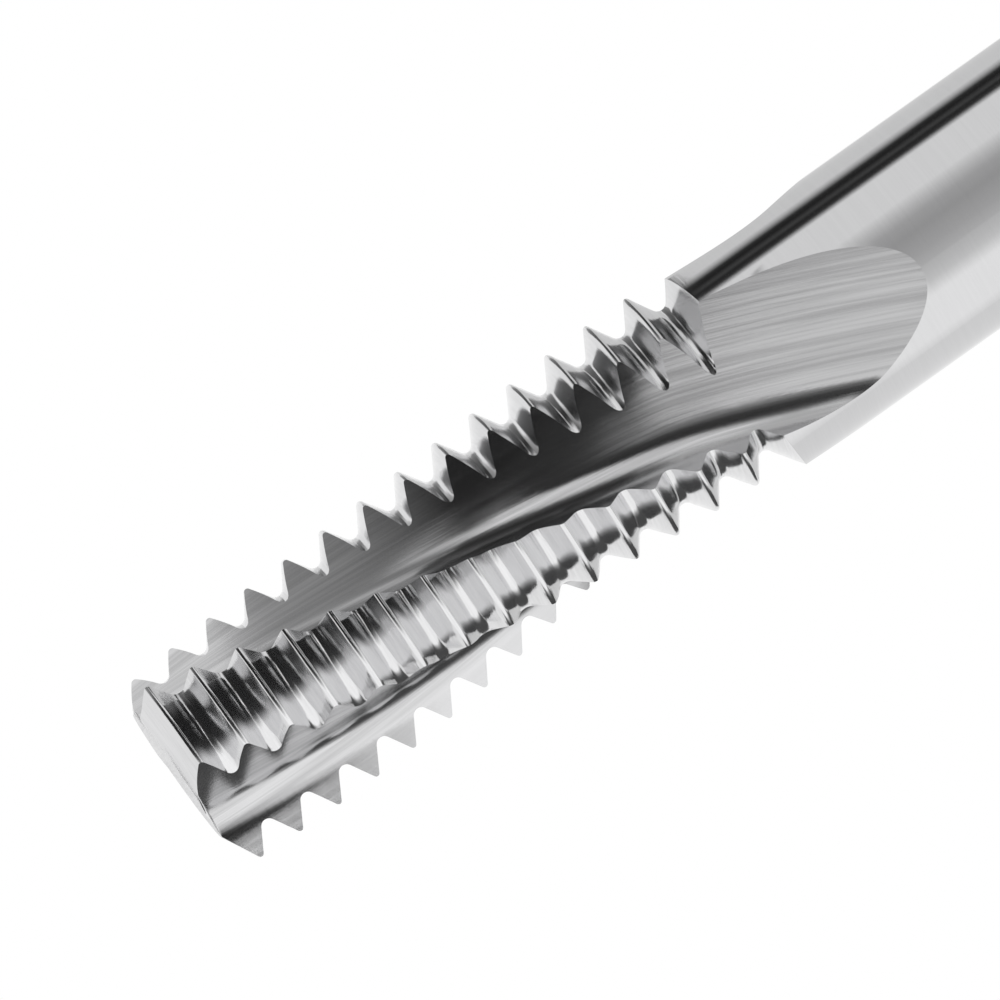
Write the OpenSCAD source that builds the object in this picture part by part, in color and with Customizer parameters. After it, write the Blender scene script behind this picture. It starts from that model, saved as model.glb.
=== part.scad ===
// Solid carbide thread mill: a round shank, and a fluted head whose rings of
// 60 degree teeth lie square to the axis, each land backed off behind its edge.
// Millimetres. The tool stands on its shank end, tip up, on the Z axis.

/* [Shank] */
// Shank diameter, the size the holder grips
shank_d = 10; // [8:0.5:12]
// Length from the shank end to the cutting end face
total_l = 80; // [70:1:100]
// Width of the 45 degree chamfer on the shank end
end_chamfer = 0.5; // [0.3:0.1:1]

/* [Thread form] */
// Cutting diameter over the tooth crests
cutter_d = 10.4; // [9.6:0.1:11.6]
// Distance from crest to crest
pitch = 2; // [1.5:0.25:2.25]
// Teeth along each land
teeth = 14; // [8:1:16]
// Angle between the two flanks of a tooth
tooth_angle = 60; // [55:5:60]
// Width of the land left on each crest
crest_flat = 0.16; // [0.1:0.02:0.25]
// Radius in the root between two teeth
root_r = 0.34; // [0.2:0.02:0.4]
// Distance of the first crest behind the end face
first_crest = 0.9; // [0.6:0.1:1]
// Angle of the front flank to a plane square to the axis
front_angle = 27; // [24:1:32]

/* [Flutes] */
// Number of flutes
flutes = 3; // [3:1:4]
// Right-hand helix angle at the cutting diameter
helix = 15; // [5:1:25]
// Relief angle of the lands behind the cutting edges
relief = 10.3; // [6:0.1:12]
// Twice the distance from the axis to the flute floor
core_d = 5.4; // [5:0.1:6]
// Lean of the floor, so that the flute opens wider than a right angle
floor_lean = 20; // [10:1:25]
// Radius in the gullet between the cutting face and the floor
gullet_r = 1.8; // [1.0:0.1:2.2]
// Direction of the first cutting edge at the tip
edge_start = -45.3; // [-180:0.1:180]

/* [Flute run-out] */
// Length over which the flutes have their full depth
full_depth_l = 23; // [14:0.1:25]
// Radius of the wheel whose arc lifts the floor out of the shank
wheel_r = 45; // [30:1:80]
// Distance from the tip where the helix straightens into the wheel's track
helix_l = 25.6; // [18:0.1:27]
// Angle of the wheel's track to the axis past the helix
track_angle = 18.3; // [10:0.1:22]

/* [Fineness] */
// Steps across a land
land_steps = 6; // [4:1:8]
// Steps around the gullet
gullet_steps = 5; // [3:1:6]
// Steps around a root
root_steps = 3; // [2:1:4]
// Sections along the run-out
runout_steps = 16; // [10:1:20]

/* [Hidden] */
$fn = 128;
shank_r = shank_d / 2;
crest_r = cutter_d / 2;
half = tooth_angle / 2;
// Depth left of the sharp V after the crest flat and the root radius
depth = (pitch - crest_flat) / 2 / tan(half) - root_r * (1 / sin(half) - 1);
bottom_r = crest_r - depth;
front_r = crest_r - (first_crest - crest_flat / 2) / tan(front_angle);
core_r = core_d / 2;
turn = 360 / flutes;
// Degrees of helix per millimetre of length
twist = tan(helix) / crest_r * 180 / PI;
// Logarithmic spiral rate that keeps the relief angle the same along a land
fall = tan(relief) * PI / 180;
// Distance from the sharp gullet corner to where its radius ends
gullet_run = gullet_r / tan((90 + floor_lean) / 2);
// A radius outside shank and head at every point of a land
clear_r = 1.5 * max(shank_r, crest_r);
last_root = first_crest + (teeth - 0.5) * pitch;
shoulder = last_root + root_r * cos(half) + (clear_r - bottom_r - root_r * (1 - sin(half))) * tan(half);
runout_l = full_depth_l + sqrt(2 * wheel_r * (shank_r - core_r));
// Kept clear of both ends of the tool by the solids that trim each other
over = 2;

// Height of a place given by its distance behind the end face
function height(s) = total_l - s;

// One root of the thread form as [distance, radius at the cutting edge]
function root(mid) = [
    for (i = [0 : root_steps])
        let (a = (90 - half) * (2 * i / root_steps - 1))
            [mid + root_r * sin(a), bottom_r + root_r * (1 - cos(a))]
];

// The whole form along a cutting edge, from the end face to above the shank
function thread_form() = [
    [0, front_r],
    for (i = [0 : teeth - 1])
        let (mid = first_crest + i * pitch)
            each concat(
                [[mid - crest_flat / 2, crest_r], [mid + crest_flat / 2, crest_r]],
                root(mid + pitch / 2)
            ),
    [shoulder, clear_r]
];

// Floor distance, sideways track and remaining helix of a flute at distance s
function floor_r(s) = core_r + pow(max(0, s - full_depth_l), 2) / (2 * wheel_r);
function track(s) = tan(track_angle) * max(0, s - helix_l);
function flute_angle(s) = edge_start - twist * min(s, helix_l);
function lag(s) = -twist * max(0, s - helix_l);

// Radius of a land at an angle behind its cutting edge
function land_r(r, behind, k) = r * exp(-k * behind);

// Angle at which the floor line meets the land ahead, by repeated trial
function heel_angle(r, d, k, ahead, a, n) =
    n == 0 ? a : heel_angle(r, d, k, ahead,
        floor_lean + acos(min(0.995, d / land_r(r, ahead - a, k))), n - 1);

// Where the cutting face at sideways place y meets its own land
function edge_x(r, y, k, ahead, x, n) =
    n == 0 ? x : edge_x(r, y, k, ahead,
        sqrt(max(0, pow(land_r(r, ahead - atan2(y, x), k), 2) - y * y)), n - 1);

// From one cutting edge through the flute and over the land ahead, seen with
// the cutting face along X: edge, gullet, floor, heel, then the land.
function sector(s, r, k) =
    let (
        d = floor_r(s), q = track(s), e = lag(s),
        corner = [d / cos(floor_lean) + q * sin(floor_lean), -q * cos(floor_lean)],
        mid = corner + [gullet_run, gullet_r],
        far = norm(mid),
        face_x = edge_x(r, corner.y, k, e, r, 4),
        whole = face_x > mid.x + 0.02,
        cut = atan2(mid.y, mid.x)
            - acos(max(-1, min(1, (r * r - far * far - gullet_r * gullet_r) / (2 * far * gullet_r)))),
        last = floor_lean - 180,
        first = whole ? -90 : cut + (last - cut) / (gullet_steps + 1),
        edge = whole ? [face_x, corner.y] : mid + gullet_r * [cos(cut), sin(cut)],
        a = heel_angle(r, d, k, turn + e, 60, 12),
        heel = land_r(r, turn + e - a, k) * [cos(a), sin(a)],
        foot = mid + gullet_r * [cos(last), sin(last)],
        b = turn + atan2(edge.y, edge.x)
    ) concat(
        [edge],
        [for (i = [0 : gullet_steps])
            let (g = first + (last - first) * i / gullet_steps)
                mid + gullet_r * [cos(g), sin(g)]],
        [for (i = [1 : 2]) foot + (heel - foot) * i / 3],
        [heel],
        [for (i = [1 : land_steps - 1])
            let (g = a + (b - a) * i / land_steps)
                land_r(r, turn + e - g, k) * [cos(g), sin(g)]]
    );

// A full section of the ground form, turned to its place on the helix
function section(s, r, k) = [
    for (j = [0 : flutes - 1], p = sector(s, r, k))
        let (g = flute_angle(s) + turn * j)
            [p.x * cos(g) - p.y * sin(g), p.x * sin(g) + p.y * cos(g), height(s)]
];

// Every section: relieved along the teeth, then only the flutes rising out
function sections() = concat(
    [for (p = thread_form()) section(p[0], p[1], fall)],
    [for (i = [1 : runout_steps + 1])
        section(shoulder + (runout_l - shoulder) * i / runout_steps, clear_r, 0)],
    [[for (p = section(runout_l + over, clear_r, 0)) [p.x, p.y, -over]]]
);

// What the grinding leaves: a skin through all sections, closed at both ends
module ground_form() {
    rings = sections();
    n = len(rings[0]);
    m = len(rings);
    skin = [
        for (i = [0 : m - 2], j = [0 : n - 1])
            let (a = i * n + j, b = i * n + (j + 1) % n)
                each [[a, b, b + n], [a, b + n, a + n]]
    ];
    tip = [for (j = [0 : n - 1]) [m * n, (j + 1) % n, j]];
    end = [for (j = [0 : n - 1]) [m * n + 1, (m - 1) * n + j, (m - 1) * n + (j + 1) % n]];
    polyhedron(
        points = concat([for (ring = rings) each ring], [[0, 0, height(0)], [0, 0, -over]]),
        faces = concat(skin, tip, end),
        convexity = 10
    );
}

// The turned blank: the shank at size, with stock left around the head
module blank() {
    stock = crest_r + over;
    rotate_extrude()
        polygon([
            [0, 0], [shank_r - end_chamfer, 0], [shank_r, end_chamfer],
            [shank_r, height(last_root)], [stock, height(last_root)],
            [stock, total_l + over], [0, total_l + over]
        ]);
}

module thread_mill() {
    color([0.78, 0.79, 0.8])
        intersection() {
            blank();
            ground_form();
        }
}

thread_mill();
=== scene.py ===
"""Looks of the solid carbide thread mill: the ground surface at full fineness, its finishes, and the studio."""
import math

import bpy
import numpy as np
from mathutils import Matrix, Vector


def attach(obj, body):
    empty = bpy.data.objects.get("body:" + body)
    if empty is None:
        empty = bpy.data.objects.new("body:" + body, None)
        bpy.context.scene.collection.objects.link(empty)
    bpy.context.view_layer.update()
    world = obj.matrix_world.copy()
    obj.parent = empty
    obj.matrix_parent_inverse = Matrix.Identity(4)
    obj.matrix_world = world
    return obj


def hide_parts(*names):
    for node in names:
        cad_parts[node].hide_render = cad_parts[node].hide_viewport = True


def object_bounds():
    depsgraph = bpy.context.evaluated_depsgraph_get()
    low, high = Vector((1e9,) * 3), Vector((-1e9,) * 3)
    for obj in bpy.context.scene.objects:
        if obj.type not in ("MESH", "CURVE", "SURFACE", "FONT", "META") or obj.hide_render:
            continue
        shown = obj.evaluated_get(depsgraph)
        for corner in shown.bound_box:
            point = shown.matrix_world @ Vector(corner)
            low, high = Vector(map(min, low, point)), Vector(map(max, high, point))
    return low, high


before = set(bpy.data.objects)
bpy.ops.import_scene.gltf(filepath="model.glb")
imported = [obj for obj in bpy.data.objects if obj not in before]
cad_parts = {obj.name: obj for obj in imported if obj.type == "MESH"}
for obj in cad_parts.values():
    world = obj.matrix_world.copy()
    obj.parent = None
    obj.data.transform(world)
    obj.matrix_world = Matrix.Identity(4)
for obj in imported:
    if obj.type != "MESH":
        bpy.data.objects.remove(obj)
cad_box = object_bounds()

# Driving sizes in millimetres, the same as the solid's.
MM = 0.001
TOTAL_L = round(cad_box[1].z / MM, 3)
SHANK_R = 5.0
END_CHAMFER = 0.5
CREST_R = 5.2
PITCH = 2.0
TEETH = 14
HALF_ANGLE = math.radians(30)
CREST_FLAT = 0.16
ROOT_R = 0.34
FIRST_CREST = 0.9
FRONT_ANGLE = math.radians(27)
FLUTES = 3
HELIX = math.radians(15)
RELIEF = math.radians(10.3)
CORE_R = 2.7
FLOOR_LEAN = math.radians(20)
GULLET_R = 1.8
EDGE_START = math.radians(-45.3)
FULL_DEPTH_L = 23.0
WHEEL_R = 45.0
HELIX_L = 25.6
TRACK_ANGLE = math.radians(18.3)

# Only here: the change from the helix to the wheel's track is rounded over this length.
CHANGE_L = 1.2

# Worked out from them.
TURN = 2 * math.pi / FLUTES
TWIST = math.tan(HELIX) / CREST_R
FALL = math.tan(RELIEF)
TIP_ROUND = CREST_FLAT / 2 / math.tan(HALF_ANGLE) / (1 / math.sin(HALF_ANGLE) - 1)
DEPTH = (PITCH - CREST_FLAT) / 2 / math.tan(HALF_ANGLE) - ROOT_R * (1 / math.sin(HALF_ANGLE) - 1)
BOTTOM_R = CREST_R - DEPTH
FRONT_R = CREST_R - (FIRST_CREST - CREST_FLAT / 2) / math.tan(FRONT_ANGLE)
LAST_ROOT = FIRST_CREST + (TEETH - 0.5) * PITCH
RUNOUT_L = FULL_DEPTH_L + math.sqrt(2 * WHEEL_R * (SHANK_R - CORE_R))
GULLET_ARC = GULLET_R * (math.pi / 2 - FLOOR_LEAN)
GULLET_RUN = GULLET_R / math.tan((math.pi / 2 + FLOOR_LEAN) / 2)

# Fineness of the surface.
FLUTE_COLUMNS = 36
LAND_COLUMNS = 28
BLOCK_COLUMNS = FLUTE_COLUMNS + LAND_COLUMNS - 1
FRONT_ROWS = 7
CREST_ROWS, FLANK_ROWS, ROOT_ROWS = 5, 5, 7
SHOULDER_ROWS = 8
RUNOUT_ROWS = 70
RUNOUT_LEFT = 0.005
SHANK_ROWS = 24
TRIAL_FROM, TRIAL_TO, TRIALS = -6.5, 12, 3000
SETTLING_TURNS = 8
SHOULDER_GUESS = 1.0
SHARP_ANGLE = math.radians(40)

# Finishes, in the order of the tool's material slots.
LAND, FLUTE, END_FACE, SHANK = 0, 1, 2, 3


def thread_form():
    """Distance behind the end face and radius at the cutting edge, from the end face to the end of the last root.

    One tooth is a round crest, a straight flank, a round root and a straight flank, and it is repeated at the
    pitch. The front flank leads up to the first crest.
    """
    arc = math.pi / 2 - HALF_ANGLE
    a = np.linspace(-arc, arc, CREST_ROWS)
    b = np.linspace(-arc, arc, ROOT_ROWS)
    crest = np.stack([TIP_ROUND * np.sin(a), CREST_R - TIP_ROUND + TIP_ROUND * np.cos(a)], 1)
    root = np.stack([PITCH / 2 + ROOT_R * np.sin(b), BOTTOM_R + ROOT_R * (1 - np.cos(b))], 1)
    t = np.linspace(0, 1, FLANK_ROWS + 1)[1:-1, None]
    following = crest[0] + [PITCH, 0]
    tooth = np.concatenate([
        crest, crest[-1] * (1 - t) + root[0] * t,
        root, root[-1] * (1 - t) + following * t,
    ])
    starts = np.stack([FIRST_CREST + PITCH * np.arange(TEETH), np.zeros(TEETH)], 1)
    rows = (tooth[None] + starts[:, None]).reshape(-1, 2)
    rows = rows[: len(rows) - (FLANK_ROWS - 1)]
    lead = np.linspace(0, 1, FRONT_ROWS + 1)[:-1, None]
    return np.concatenate([np.array([0.0, FRONT_R]) * (1 - lead) + rows[0] * lead, rows])


def past_helix(s):
    """Distance past the end of the helix, rounded off where the flute changes over to the wheel's straight track:
    half of v plus the square root of v squared plus the rounding squared."""
    v = s - HELIX_L
    return (v + np.sqrt(v * v + CHANGE_L * CHANGE_L)) / 2


def land_radius(r, behind, s):
    """A land falls behind its edge on a logarithmic spiral, radius times e to minus (tangent of the relief
    angle times the angle behind), and past the last root it is never more than the shank."""
    fallen = r * np.exp(-FALL * behind)
    return np.where(s > LAST_ROOT, np.minimum(fallen, SHANK_R), fallen)


def flute_line(s, way):
    """Points of a flute's outline, with the cutting face along X, at distances way from the foot of that face.

    Negative ways run out along the straight cutting face, then come the gullet's arc and the straight floor.
    The floor lies at the core radius, and past the full depth it rises by the square of the distance over twice
    the wheel's radius; past the helix the whole outline slides sideways along the wheel's track.
    """
    floor = CORE_R + np.maximum(0, s - FULL_DEPTH_L) ** 2 / (2 * WHEEL_R)
    slide = math.tan(TRACK_ANGLE) * past_helix(s)
    x = floor / math.cos(FLOOR_LEAN) + slide * math.sin(FLOOR_LEAN) + GULLET_RUN
    y = -slide * math.cos(FLOOR_LEAN)
    turn = -math.pi / 2 - np.clip(way, 0, GULLET_ARC) / GULLET_R
    out, along = np.minimum(way, 0), np.maximum(way - GULLET_ARC, 0)
    return (
        x + GULLET_R * np.cos(turn) - out - along * math.sin(FLOOR_LEAN),
        y + GULLET_R + GULLET_R * np.sin(turn) + along * math.cos(FLOOR_LEAN),
    )


def flute_ends(s, r):
    """The ways at which a flute's outline passes out through its own land's edge and the heel of the land ahead,
    found where the outline's radius crosses the land's, on a fine line of trial points."""
    way = np.linspace(TRIAL_FROM, TRIAL_TO, TRIALS)[None, :]
    x, y = flute_line(s[:, None], way)
    angle = np.arctan2(y, x)
    lag = -TWIST * past_helix(s)[:, None]
    behind = np.where(way < GULLET_ARC / 2, lag - angle, TURN + lag - angle)
    gap = np.hypot(x, y) - land_radius(r[:, None], behind, s[:, None])
    inside = gap < 0
    rows = np.arange(len(s))
    first = np.argmax(inside, 1)
    last = way.shape[1] - 1 - np.argmax(inside[:, ::-1], 1)

    def crossing(i, j):
        """The way between trial points i and j at which a straight line through their gaps is nought."""
        g, h = gap[rows, i], gap[rows, j]
        return way[0, i] + (way[0, j] - way[0, i]) * g / (g - h)

    return crossing(first - 1, first), crossing(last, last + 1)


def flank_radius(s, root):
    """The last flank leads on from the end of the last root, out at the flank's slope."""
    return root[1] + (s - root[0]) / math.tan(HALF_ANGLE)


def shoulder_line(root):
    """How far behind the end face the last flank reaches the shank, for every point along one flute and its land.

    A land falls behind its edge, so its flank reaches the shank where the flank's radius at the edge is the shank's
    times e to (tangent of the relief angle times the angle behind). The angle depends a little on the distance, so
    both are worked out in turns until they settle.
    """
    across = np.linspace(0, 1, FLUTE_COLUMNS)
    along = np.linspace(0, 1, LAND_COLUMNS + 1)[1:-1]
    s = np.full(2, root[0] + SHOULDER_GUESS)
    land_s = np.full(len(along), s[0])
    for _ in range(SETTLING_TURNS):
        start, end = flute_ends(s, flank_radius(s, root))
        x, y = flute_line(s, np.array([start[0], end[1]]))
        angle = np.arctan2(y, x) + [TURN, 0]
        behind = TURN - TWIST * past_helix(s) - angle
        s = root[0] + (SHANK_R * np.exp(FALL * behind) - root[1]) * math.tan(HALF_ANGLE)
        behind = TURN - TWIST * past_helix(land_s) - angle[1] * (1 - along) - angle[0] * along
        land_s = root[0] + (SHANK_R * np.exp(FALL * behind) - root[1]) * math.tan(HALF_ANGLE)
    return np.concatenate([s[0] * (1 - across) + s[1] * across, land_s])


def ground_surface():
    """Rows of points over the whole tool, each point's place across its grinding lines, the shoulder's row and the
    number of rows that the flutes cut.

    Every row runs round the tool: three times a flute from cutting edge to heel, and the land ahead from heel to its
    cutting edge. The rows follow the thread form, then the last flank up to the shoulder, where they come to lie
    along its edge, then the run-out to its end, then the shank.
    """
    form = thread_form()
    root = form[-1]
    line = shoulder_line(root)[None, :]
    rise = np.linspace(0, 1, SHOULDER_ROWS + 1)[1:, None]
    left = np.linspace(1, RUNOUT_LEFT, RUNOUT_ROWS + 1)[1:, None] ** 2
    s = np.concatenate([
        np.repeat(form[:, :1], line.shape[1], 1), root[0] * (1 - rise) + line * rise,
        RUNOUT_L * (1 - left) + line * left,
    ])
    shoulder = len(form) + SHOULDER_ROWS - 1
    r = flank_radius(s, root)
    r[: len(form)] = form[:, 1:]

    start, _ = flute_ends(s[:, 0], r[:, 0])
    _, end = flute_ends(s[:, FLUTE_COLUMNS - 1], r[:, FLUTE_COLUMNS - 1])
    share = np.linspace(0, 1, FLUTE_COLUMNS)[None, :]
    way = start[:, None] * (1 - share) + end[:, None] * share
    fx, fy = flute_line(s[:, :FLUTE_COLUMNS], way)
    heel = np.arctan2(fy[:, -1:], fx[:, -1:])
    edge = TURN + np.arctan2(fy[:, :1], fx[:, :1])
    share = np.linspace(0, 1, LAND_COLUMNS + 1)[None, 1:-1]
    angle = heel * (1 - share) + edge * share
    on_land = s[:, FLUTE_COLUMNS:]
    radius = land_radius(r[:, FLUTE_COLUMNS:], TURN - TWIST * past_helix(on_land) - angle, on_land)
    x = np.concatenate([fx, radius * np.cos(angle)], 1)
    y = np.concatenate([fy, radius * np.sin(angle)], 1)
    across = np.tile(np.concatenate([way, angle * SHANK_R], 1), (1, FLUTES))

    turned = EDGE_START - TWIST * (s - past_helix(s))[:, None] + TURN * np.arange(FLUTES)[None, :, None]
    px = (x[:, None] * np.cos(turned) - y[:, None] * np.sin(turned)).reshape(len(s), -1)
    py = (x[:, None] * np.sin(turned) + y[:, None] * np.cos(turned)).reshape(len(s), -1)
    pz = TOTAL_L - np.tile(s, (1, FLUTES))

    # The plain shank goes on from the last row, out to the shank radius and down to the chamfered end.
    round_x, round_y = px[-1] / np.hypot(px[-1], py[-1]), py[-1] / np.hypot(px[-1], py[-1])
    heights = np.concatenate([np.linspace(TOTAL_L - RUNOUT_L, END_CHAMFER, SHANK_ROWS), [0.0]])
    radii = np.concatenate([np.full(SHANK_ROWS, SHANK_R), [SHANK_R - END_CHAMFER]])
    px = np.concatenate([px, radii[:, None] * round_x])
    py = np.concatenate([py, radii[:, None] * round_y])
    pz = np.concatenate([pz, np.repeat(heights[:, None], px.shape[1], 1)])
    across = np.concatenate([across, np.repeat(across[-1:], len(heights), 0)])
    return np.stack([px, py, pz], 2), across, shoulder, len(s)


def make_tool():
    """The whole surface as one closed mesh: quads between neighbouring rows, and a fan on each flat end."""
    points, across, shoulder, cut_rows = ground_surface()
    rows, columns = points.shape[:2]
    flat = points.reshape(-1, 3)
    ends = np.array([[0, 0, TOTAL_L], [0, 0, 0.0]])
    i, j = np.meshgrid(np.arange(rows - 1), np.arange(columns), indexing="ij")
    k = (j + 1) % columns
    quads = np.stack(
        [i * columns + j, (i + 1) * columns + j, (i + 1) * columns + k, i * columns + k], -1
    ).reshape(-1, 4)
    ring = np.arange(columns)
    following = (ring + 1) % columns
    tip = np.stack([np.full(columns, len(flat)), ring, following], 1)
    base = (rows - 1) * columns
    foot = np.stack([np.full(columns, len(flat) + 1), base + following, base + ring], 1)

    mesh = bpy.data.meshes.new("thread_mill_ground")
    mesh.from_pydata(np.concatenate([flat, ends]) * MM, [], quads.tolist() + tip.tolist() + foot.tolist())

    in_flute = (j % BLOCK_COLUMNS) < FLUTE_COLUMNS - 1
    finish = np.where(i < shoulder, LAND, SHANK)
    finish = np.where(in_flute & (i < cut_rows - 1), FLUTE, finish)
    finish = np.concatenate([finish.reshape(-1), np.full(columns, END_FACE), np.full(columns, SHANK)])
    mesh.polygons.foreach_set("material_index", finish.astype(np.int32))
    mesh.polygons.foreach_set("use_smooth", np.ones(len(finish), dtype=bool))

    # The pattern map holds the way across the grinding lines and the way along them, in millimetres.
    lay = np.concatenate([across.reshape(-1), [0, 0]])
    height = np.concatenate([flat[:, 2], ends[:, 2]])
    corners = np.empty(len(mesh.loops), dtype=np.int32)
    mesh.loops.foreach_get("vertex_index", corners)
    uv = np.stack([lay[corners], height[corners]], 1)
    mesh.uv_layers.new(name="lay").data.foreach_set("uv", uv.astype(np.float32).reshape(-1))
    mesh.validate()
    mesh.update()

    # Ground edges stay sharp at any angle: both edges and the end of every flute, the shoulder's, and the rims of
    # the flat ends.
    mesh.set_sharp_from_angle(angle=SHARP_ANGLE)
    pairs = np.empty(2 * len(mesh.edges), dtype=np.int32)
    mesh.edges.foreach_get("vertices", pairs)
    row, column = np.divmod(pairs.reshape(-1, 2), columns)
    block = column[:, 0] % BLOCK_COLUMNS
    flute_side = np.isin(block, [0, FLUTE_COLUMNS - 1])
    border = (column[:, 0] == column[:, 1]) & flute_side & (row.max(1) < cut_rows)
    level = row[:, 0] == row[:, 1]
    rim = level & np.isin(row[:, 0], [0, cut_rows - 1, cut_rows, rows - 2, rows - 1])
    rim |= level & (row[:, 0] == shoulder) & (flute_side | (block >= FLUTE_COLUMNS))
    sharp = np.empty(len(mesh.edges), dtype=bool)
    mesh.edges.foreach_get("use_edge_sharp", sharp)
    mesh.edges.foreach_set("use_edge_sharp", sharp | border | rim)
    return mesh


class Socket:
    """One output of a shader node: the operators add Math nodes, and make() adds any other node."""

    def __init__(self, tree, link):
        self.tree, self.link = tree, link

    def make(self, kind, settings=None, out=0, **inputs):
        """A node of that type: its settings first, then values or links for its sockets by name or number."""
        node = self.tree.nodes.new(kind)
        for name, value in (settings or {}).items():
            setattr(node, name, value)
        for name, value in inputs.items():
            key = int(name[1:]) if name[0] == "_" and name[1:].isdigit() else name.replace("_", " ")
            if isinstance(value, Socket):
                self.tree.links.new(value.link, node.inputs[key])
            else:
                node.inputs[key].default_value = value
        return Socket(self.tree, node.outputs[out])

    def maths(self, operation, *terms):
        """A Math node with that operation on its terms, in order."""
        return self.make("ShaderNodeMath", {"operation": operation}, **{f"_{n}": v for n, v in enumerate(terms)})

    def __add__(self, other): return self.maths("ADD", self, other)
    def __radd__(self, other): return self.maths("ADD", other, self)
    def __sub__(self, other): return self.maths("SUBTRACT", self, other)
    def __rsub__(self, other): return self.maths("SUBTRACT", other, self)
    def __mul__(self, other): return self.maths("MULTIPLY", self, other)
    def __rmul__(self, other): return self.maths("MULTIPLY", other, self)

    def between(self, low, high):
        """0 below low, 1 above high, smooth between."""
        return self.make("ShaderNodeMapRange", {"interpolation_type": "SMOOTHSTEP"},
                         Value=self, From_Min=low, From_Max=high)


# Grinding pattern: the shares of fine and broad noise, the band that turns them to streaks, and the grooves' depth.
FINE_SHARE, BROAD_SHARE = 0.55, 0.45
BROAD_SCALE = (0.22, 0.5, 0.22)
STREAK_LOW, STREAK_HIGH = 0.36, 0.64
GROOVE_DEPTH = 0.00002
BLUE_TINT = 1.01

# Cutting faces: how far past the foot the satin fades out, in millimetres, and how strong, pale and rough it is.
SATIN_FROM, SATIN_TO = -0.1, 0.9
SATIN_SHARE, SATIN_PALE, SATIN_ROUGH = 0.8, 1.02, 0.06


def metal(tone):
    """The colour of carbide at that tone, a trace of blue in it."""
    return tone, tone, tone * BLUE_TINT, 1


def carbide(name, tone, rough, streak_tone, streak_rough, bump, across, along, place):
    """Bright ground carbide: noise drawn out along the grinding lines darkens, roughens and lifts the surface.

    across and along are the noise's steps per millimetre; place says which coordinates the lines follow."""
    material = bpy.data.materials.new(name)
    material.use_nodes = True
    tree = material.node_tree
    tree.nodes.clear()
    start = Socket(tree, None)
    if place == "lay":
        vector = start.make("ShaderNodeUVMap", {"uv_map": "lay"})
        scale = (across, along, 1)
    else:
        vector = start.make("ShaderNodeTexCoord", out=3)
        scale = {
            "turned": (along / MM, along / MM, across / MM),
            "flat": (across / MM, along / MM, along / MM),
        }[place]
    vector = start.make("ShaderNodeMapping", Vector=vector, Scale=scale)
    fine = start.make("ShaderNodeTexNoise", Vector=vector, Scale=1.0, Detail=6.0, Roughness=0.7)
    broad_vector = start.make("ShaderNodeMapping", Vector=vector, Scale=BROAD_SCALE)
    broad = start.make("ShaderNodeTexNoise", Vector=broad_vector, Scale=1.0, Detail=3.0, Roughness=0.6)
    streak = (fine * FINE_SHARE + broad * BROAD_SHARE).between(STREAK_LOW, STREAK_HIGH)
    colour = start.make("ShaderNodeMix", {"data_type": "RGBA"}, out=2, Factor=streak,
                        _6=metal(tone * (1 - streak_tone)), _7=metal(tone))
    shader = tree.nodes.new("ShaderNodeBsdfPrincipled")
    shader.inputs["Metallic"].default_value = 1.0
    roughness = rough + streak_rough * (1 - streak)
    if place == "lay":
        # The cutting faces, from the edge down to the gullet, are finer ground and satin.
        way = start.make("ShaderNodeSeparateXYZ", Vector=start.make("ShaderNodeUVMap", {"uv_map": "lay"}))
        satin = 1 - way.between(SATIN_FROM, SATIN_TO)
        colour = start.make("ShaderNodeMix", {"data_type": "RGBA"}, out=2, Factor=satin * SATIN_SHARE,
                            _6=colour, _7=metal(tone * SATIN_PALE))
        roughness = roughness + SATIN_ROUGH * satin
    tree.links.new(colour.link, shader.inputs["Base Color"])
    tree.links.new(roughness.link, shader.inputs["Roughness"])
    lifted = start.make("ShaderNodeBump", Strength=bump, Distance=GROOVE_DEPTH, Height=streak)
    tree.links.new(lifted.link, shader.inputs["Normal"])
    output = tree.nodes.new("ShaderNodeOutputMaterial")
    tree.links.new(shader.outputs["BSDF"], output.inputs["Surface"])
    return material


tool = bpy.data.objects.new("thread_mill_ground", make_tool())
bpy.context.scene.collection.objects.link(tool)
for finish in (
    carbide("relief_ground_carbide", tone=0.72, rough=0.10, streak_tone=0.10, streak_rough=0.06, bump=0.10,
            across=14, along=0.5, place="turned"),
    carbide("flute_ground_carbide", tone=0.63, rough=0.09, streak_tone=0.28, streak_rough=0.10, bump=0.10,
            across=4, along=0.07, place="lay"),
    carbide("face_ground_carbide", tone=0.66, rough=0.34, streak_tone=0.10, streak_rough=0.10, bump=0.06,
            across=10, along=0.3, place="flat"),
    carbide("shank_ground_carbide", tone=0.60, rough=0.05, streak_tone=0.03, streak_rough=0.02, bump=0.02,
            across=18, along=0.4, place="turned"),
):
    tool.data.materials.append(finish)
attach(tool, "root")
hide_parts("thread_mill")


# Studio. Angles round the tool are counted from the camera's side (-Y), positive towards +X.
def glow(name):
    """A card's own light: its level attribute as the emission's grey, where 1 is white."""
    material = bpy.data.materials.new(name)
    material.use_nodes = True
    tree = material.node_tree
    tree.nodes.clear()
    level = Socket(tree, None).make("ShaderNodeAttribute", {"attribute_name": "level"}, out=2)
    emit = level.make("ShaderNodeEmission", Color=level)
    tree.links.new(emit.link, tree.nodes.new("ShaderNodeOutputMaterial").inputs["Surface"])
    return material


card_light = glow("card_light")
CARD_STEPS = 64


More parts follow.
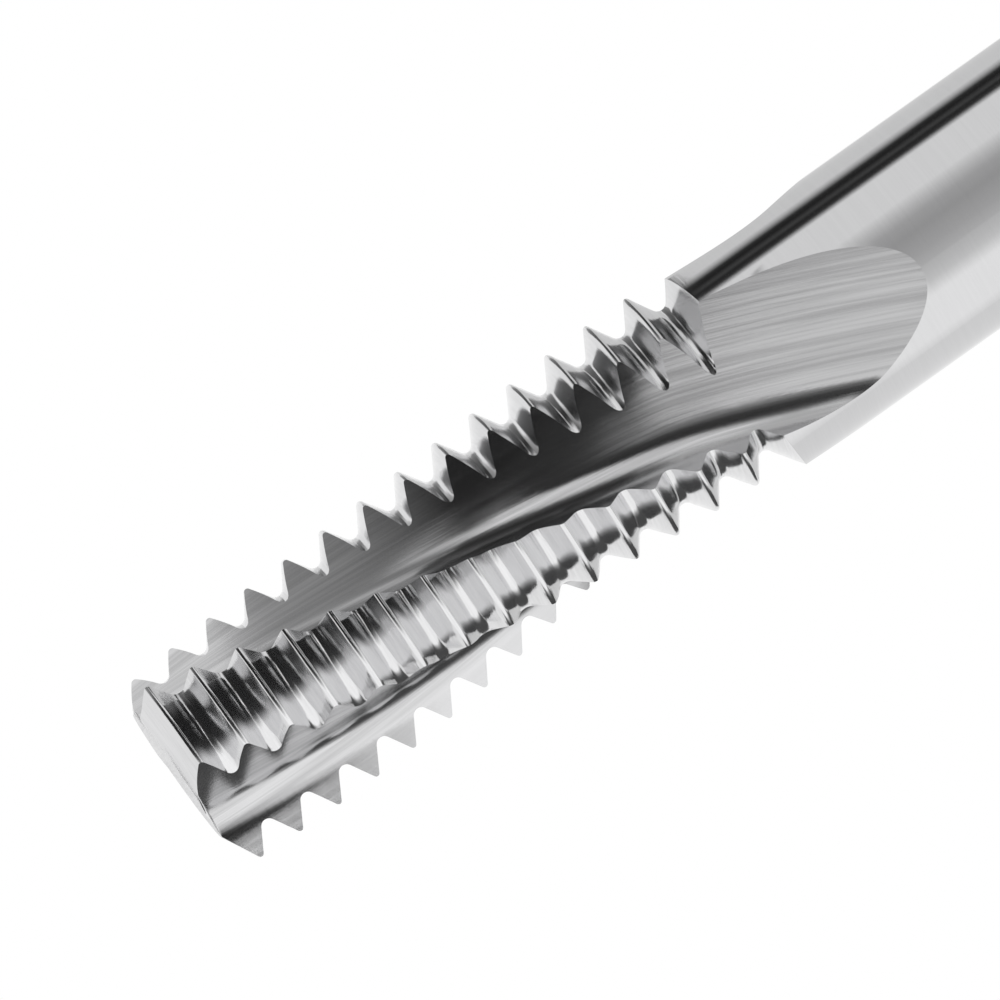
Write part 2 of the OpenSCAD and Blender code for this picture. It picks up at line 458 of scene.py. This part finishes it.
def card(name, levels, first, second, climb=0.0):
    """A card curved round the tool's axis, seen only in reflections.

    It is the surface swept about the axis by a straight line between two points, each a radius and a height in
    metres. levels gives angles in degrees and the light at each; between them it changes evenly. climb is how far
    the card rises from its first angle to its last."""
    angles, lights = np.array(levels, dtype=float).T
    turn = np.linspace(angles[0], angles[-1], CARD_STEPS + 1)
    a, k = np.meshgrid(np.radians(turn), [0, 1], indexing="ij")
    radius, z = (np.array([first[n], second[n]])[k] for n in (0, 1))
    z = z + climb * np.linspace(0, 1, CARD_STEPS + 1)[:, None]
    points = np.stack([radius * np.sin(a), -radius * np.cos(a), z], 2).reshape(-1, 3)
    n = np.arange(CARD_STEPS)
    faces = np.stack([2 * n, 2 * n + 2, 2 * n + 3, 2 * n + 1], 1)
    mesh = bpy.data.meshes.new(name)
    mesh.from_pydata(points, [], faces.tolist())
    light = np.repeat(np.interp(turn, angles, lights), 2).astype(np.float32)
    mesh.attributes.new("level", "FLOAT", "POINT").data.foreach_set("value", light)
    mesh.materials.append(card_light)
    thing = bpy.data.objects.new(name, mesh)
    thing.visible_camera = thing.visible_diffuse = thing.visible_shadow = False
    bpy.context.scene.collection.objects.link(thing)


# Radii of the cards, in metres. The first two stand far off and tone the shank. The others stand round the cutting
# head and above it, and give its teeth and flutes their dark and pale bands.
SWEEP_R, STRIP_R = 0.40, 0.36
PALE_R, NEAR_R, WINDOW_R = 0.050, 0.045, 0.044
STAND_R, BAND_R = 0.020, 0.0198
SHELF_R = 0.014

card("front_sweep",
     [(-104, 1.05), (-92, 1.22), (-52, 1.22), (-38, 0.85), (-10, 0.55), (10, 0.46), (23, 0.53), (33, 0.74), (42, 0.97)],
     (SWEEP_R, -0.15), (SWEEP_R, 0.35))
card("dark_strip",
     [(79, 0.85), (84, 0.06), (89, 0.02), (93, 0.08), (99, 0.02), (105, 0.04), (113, 0.62), (118, 0.88), (165, 0.78)],
     (STRIP_R, -0.15), (STRIP_R, 0.05))

# In front of the head, from its upper part down, and shelves that close the front off from below.
card("near_upper",
     [(-34, 0.9), (-28, 0.5), (-22, 0.08), (-16, 0.02), (38, 0.02), (50, 0.14), (66, 0.32), (88, 0.42), (100, 0.70)],
     (NEAR_R, 0.066), (NEAR_R, 0.15))
card("near_middle", [(-21, 0.05), (38, 0.02), (50, 0.70), (58, 0.65), (70, 0.28), (80, 0.30)],
     (NEAR_R, 0.060), (NEAR_R, 0.066))
front_levels = [(-21, 0.36), (-4, 0.18), (1, 0.06), (23, 0.02), (29, 0.95), (52, 0.95)]
shelf_split = [(62, 0.53)]
side_levels = [(70, 0.20), (78, 0.14)]
card("near_front", front_levels + side_levels, (NEAR_R, 0.047), (NEAR_R, 0.060))
card("near_shelf", front_levels + shelf_split, (SHELF_R, 0.047), (NEAR_R, 0.047))
card("near_shelf_side", shelf_split + side_levels, (SHELF_R, 0.0508), (NEAR_R, 0.0508))
card("near_window", [(-40, 0.9), (-18, 0.85), (-9, 0.1)], (WINDOW_R, 0.056), (WINDOW_R, 0.072))

# Towards +X, for the upper teeth's flanks.
card("near_side_low", [(80, 0.10), (84, 0.04), (112, 0.06), (122, 0.18), (140, 0.30)],
     (NEAR_R, 0.0468), (NEAR_R, 0.059))
card("near_side_high", [(80, 0.30), (88, 0.40), (96, 0.62), (110, 0.45), (122, 0.25), (140, 0.35)],
     (NEAR_R, 0.059), (NEAR_R, 0.070))

# Nearer: a dark card for the middle land, a narrow pale one for the lower teeth, a dark one for the last upper teeth.
card("near_face", [(-34, 0.9), (-28, 0.5), (-22, 0.08), (-16, 0.03), (-4, 0.03)],
     (STAND_R, 0.058), (STAND_R, 0.085))
card("near_lower", [(-32, 1.0), (-12, 1.2), (17, 1.3)], (BAND_R, 0.0600), (BAND_R, 0.0628), climb=0.0073)
card("near_teeth",
     [(58, 0.16), (66, 0.08), (76, 0.03), (86, 0.05), (96, 0.11), (112, 0.14), (122, 0.20), (136, 0.32)],
     (STAND_R, 0.0497), (STAND_R, 0.062))

# Towards -X, for the lower side in the picture.
pale_levels = [(-94, 1.2), (-38, 1.2)]
card("under_pale", pale_levels, (PALE_R, 0.0512), (PALE_R, 0.16))
card("under_pale_shelf", pale_levels, (SHELF_R, 0.0512), (PALE_R, 0.0512))
dark_levels = [(-142, 0.08), (-106, 0.08), (-98, 0.4), (-92, 1.1)]
card("under_dark", dark_levels, (NEAR_R, 0.0515), (NEAR_R, 0.10))
card("under_dark_shelf", dark_levels, (SHELF_R, 0.0515), (NEAR_R, 0.0515))

FLOOR_RINGS = [0.001, 0.05, 0.12, 0.2]
FLOOR_SIDES = 96


def make_floor():
    """A pale round floor: rings of points out from under the tool."""
    turn = np.linspace(0, 2 * np.pi, FLOOR_SIDES + 1)[:-1]
    ring, turn = np.meshgrid(FLOOR_RINGS, turn, indexing="ij")
    points = np.stack([ring * np.cos(turn), ring * np.sin(turn), np.zeros_like(ring)], 2).reshape(-1, 3)
    i, j = np.meshgrid(np.arange(len(FLOOR_RINGS) - 1), np.arange(FLOOR_SIDES), indexing="ij")
    inner, outer, k = i * FLOOR_SIDES, (i + 1) * FLOOR_SIDES, (j + 1) % FLOOR_SIDES
    faces = np.stack([inner + j, outer + j, outer + k, inner + k], -1).reshape(-1, 4)
    middle = list(range(FLOOR_SIDES - 1, -1, -1))
    mesh = bpy.data.meshes.new("floor")
    mesh.from_pydata(points, [], faces.tolist() + [middle])
    material = bpy.data.materials.new("pale_floor")
    material.use_nodes = True
    shader = material.node_tree.nodes["Principled BSDF"]
    shader.inputs["Base Color"].default_value = (0.86, 0.86, 0.86, 1)
    shader.inputs["Roughness"].default_value = 0.8
    mesh.materials.append(material)
    thing = bpy.data.objects.new("floor", mesh)
    bpy.context.scene.collection.objects.link(thing)


make_floor()

# The world is white where it is seen, also in metal, and lights the rest at a plain level.
SEEN_WHITE, PLAIN_LEVEL = 1.0, 0.6
world = bpy.data.worlds.new("studio")
bpy.context.scene.world = world
world.use_nodes = True
tree = world.node_tree
tree.nodes.clear()
start = Socket(tree, None)
path = tree.nodes.new("ShaderNodeLightPath")
seen = (Socket(tree, path.outputs["Is Camera Ray"]) + Socket(tree, path.outputs["Is Glossy Ray"])
        + Socket(tree, path.outputs["Is Transmission Ray"]))
strength = start.make("ShaderNodeMapRange", Value=seen, From_Min=0.0, From_Max=1.0,
                      To_Min=PLAIN_LEVEL, To_Max=SEEN_WHITE)
background = start.make("ShaderNodeBackground", Color=(1, 1, 1, 1), Strength=strength)
tree.links.new(background.link, tree.nodes.new("ShaderNodeOutputWorld").inputs["Surface"])

# One soft lamp above the tool, on the camera's side and towards -X, aimed at the shank.
LAMP_PLACE, LAMP_AIM = Vector((-0.25, -0.25, 0.6)), Vector((0, 0, 0.03))
lamp = bpy.data.lights.new("soft_top", "AREA")
lamp.energy, lamp.size = 1.6, 0.35
lamp_object = bpy.data.objects.new("soft_top", lamp)
lamp_object.location = LAMP_PLACE
lamp_object.rotation_euler = (LAMP_AIM - LAMP_PLACE).to_track_quat("-Z", "Y").to_euler()
lamp_object.visible_glossy = False
bpy.context.scene.collection.objects.link(lamp_object)

# Camera: the frame's width in millimetres, how the axis lies in it, and the point of the tool at its centre.
FRAME_MM = 41.88
AXIS_TILT = math.radians(35.37)
TIP_NEARER = math.radians(4.5)
CENTRE_BEHIND_TIP, CENTRE_TO_SIDE = 17.71, 1.31
LENS, SENSOR = 500, 36

towards = Vector((0, -math.cos(TIP_NEARER), math.sin(TIP_NEARER)))
shankwards = Vector((0, -math.sin(TIP_NEARER), -math.cos(TIP_NEARER)))
sidewards = Vector((1, 0, 0))
right = -math.sin(AXIS_TILT) * sidewards + math.cos(AXIS_TILT) * shankwards
up = math.cos(AXIS_TILT) * sidewards + math.sin(AXIS_TILT) * shankwards
aim = Vector((0, 0, TOTAL_L)) + shankwards * CENTRE_BEHIND_TIP + sidewards * CENTRE_TO_SIDE
lens = bpy.data.cameras.new("camera")
lens.lens, lens.sensor_width = LENS, SENSOR
lens.clip_start, lens.clip_end = 0.01, 10
camera = bpy.data.objects.new("camera", lens)
where = (aim + towards * FRAME_MM * LENS / SENSOR) * MM
camera.matrix_world = Matrix.Translation(where) @ Matrix((right, up, towards)).transposed().to_4x4()
bpy.context.scene.collection.objects.link(camera)
bpy.context.scene.camera = camera
bpy.context.scene.view_settings.view_transform = "Standard"
